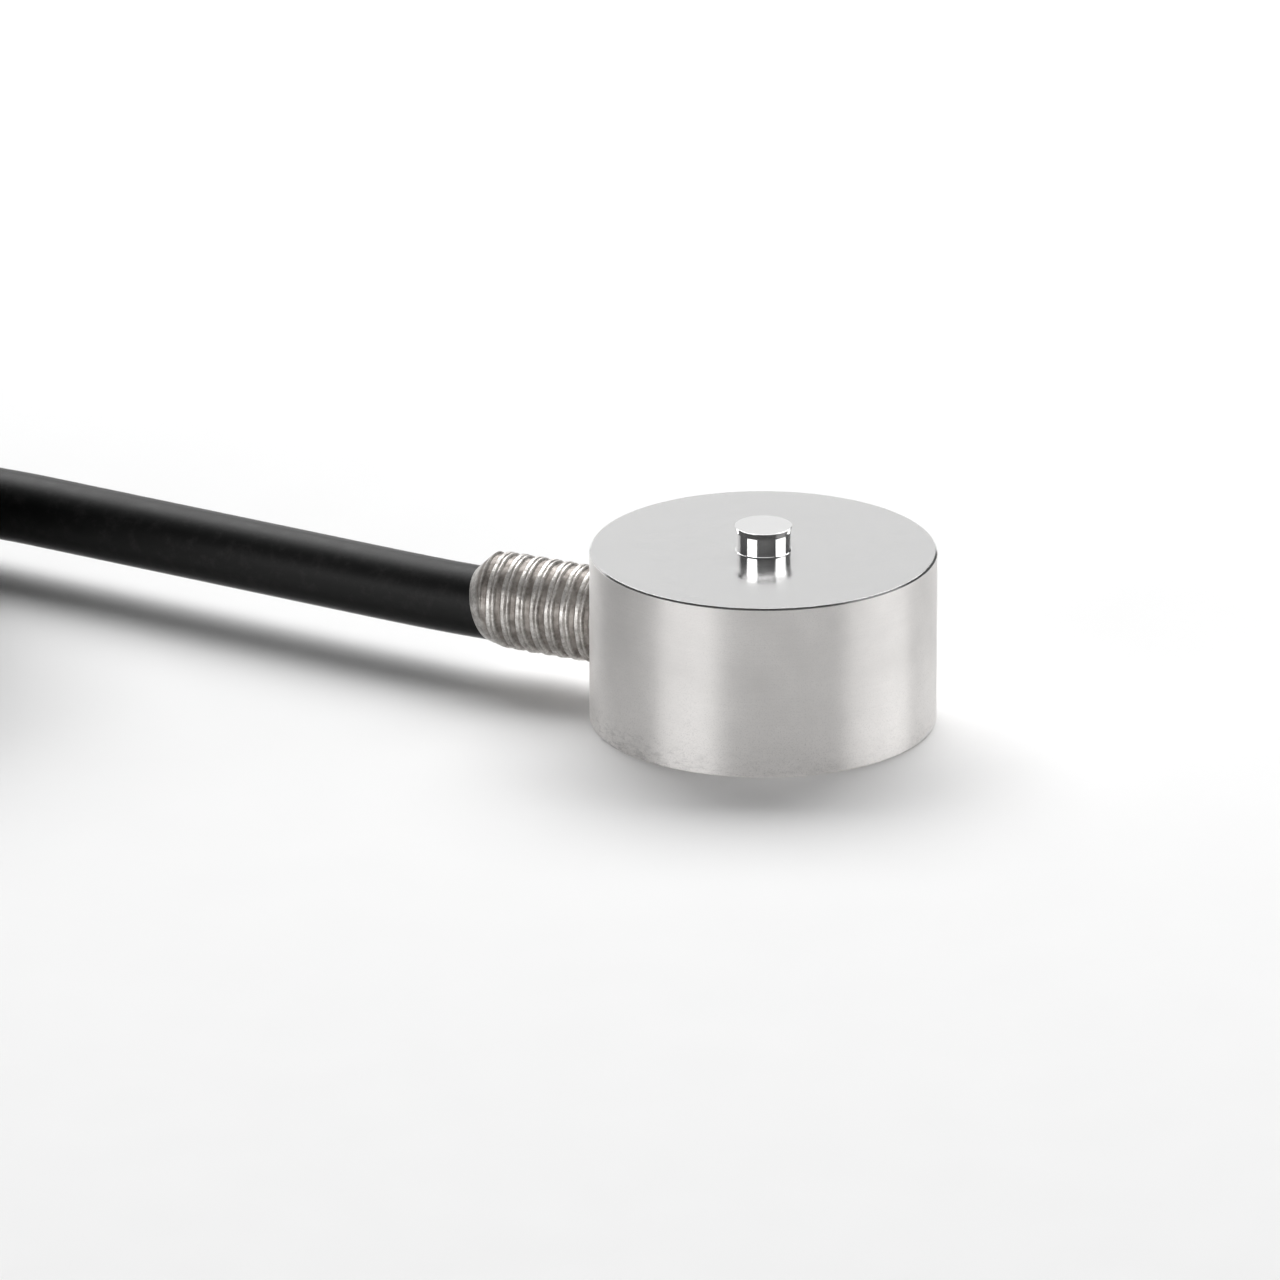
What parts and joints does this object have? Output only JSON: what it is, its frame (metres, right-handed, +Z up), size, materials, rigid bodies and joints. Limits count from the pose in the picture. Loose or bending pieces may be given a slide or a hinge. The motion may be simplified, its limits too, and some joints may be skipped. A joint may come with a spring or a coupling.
{
  "type": "miniature compression load cell",
  "caption": "Small round compression load cell with a raised load button, a threaded side outlet and a thin cable.",
  "frame": {"origin": "centre of the base, on the surface that the cell stands on", "axes": "+Z up along the load axis, towards the button; the cable leaves along -X"},
  "size_m": [0.1408, 0.0447, 0.0192],
  "materials": {
    "turned_steel": "satin stainless steel, turned side and ground top",
    "plated_nipple": "bright plated thread with dull valleys",
    "cable_jacket": "smooth black jacket with a soft sheen",
    "tie_nylon": "moulded black nylon",
    "shrink_sleeve": "black heat-shrink tube",
    "board_laminate": "green circuit board with solder pads",
    "gauge_backing": "amber film with etched foil grid",
    "chip_ceramic": "dark chip with tinned end caps",
    "potting_compound": "cured dark resin",
    "tinned_copper": "tinned copper",
    "insulation_red": "smooth insulation",
    "insulation_black": "smooth insulation",
    "insulation_green": "smooth insulation",
    "insulation_white": "smooth insulation"
  },
  "bodies": {
    "root": {"sensor_body": "turned_steel", "base_cover": "turned_steel", "terminal_board": "board_laminate", "gauge_jumpers": "tinned_copper", "zero_trim_resistor": "chip_ceramic", "span_resistor_1": "chip_ceramic", "span_resistor_2": "chip_ceramic", "potting_plug": "potting_compound", "threaded_nipple": "plated_nipple", "cable_run": "cable_jacket", "cable_hank": "cable_jacket", "cable_tail": "cable_jacket", "hank_tie_1": "tie_nylon", "hank_tie_2": "tie_nylon", "heat_shrink_sleeve": "shrink_sleeve", "shield_drain": "tinned_copper", "strain_gauge_1": "gauge_backing", "strain_gauge_2": "gauge_backing", "strain_gauge_3": "gauge_backing", "strain_gauge_4": "gauge_backing", "core_red": "insulation_red", "lead_red": "insulation_red", "tip_red": "tinned_copper", "core_black": "insulation_black", "lead_black": "insulation_black", "tip_black": "tinned_copper", "core_green": "insulation_green", "lead_green": "insulation_green", "tip_green": "tinned_copper", "core_white": "insulation_white", "lead_white": "insulation_white", "tip_white": "tinned_copper"}
  },
  "joints": []
}
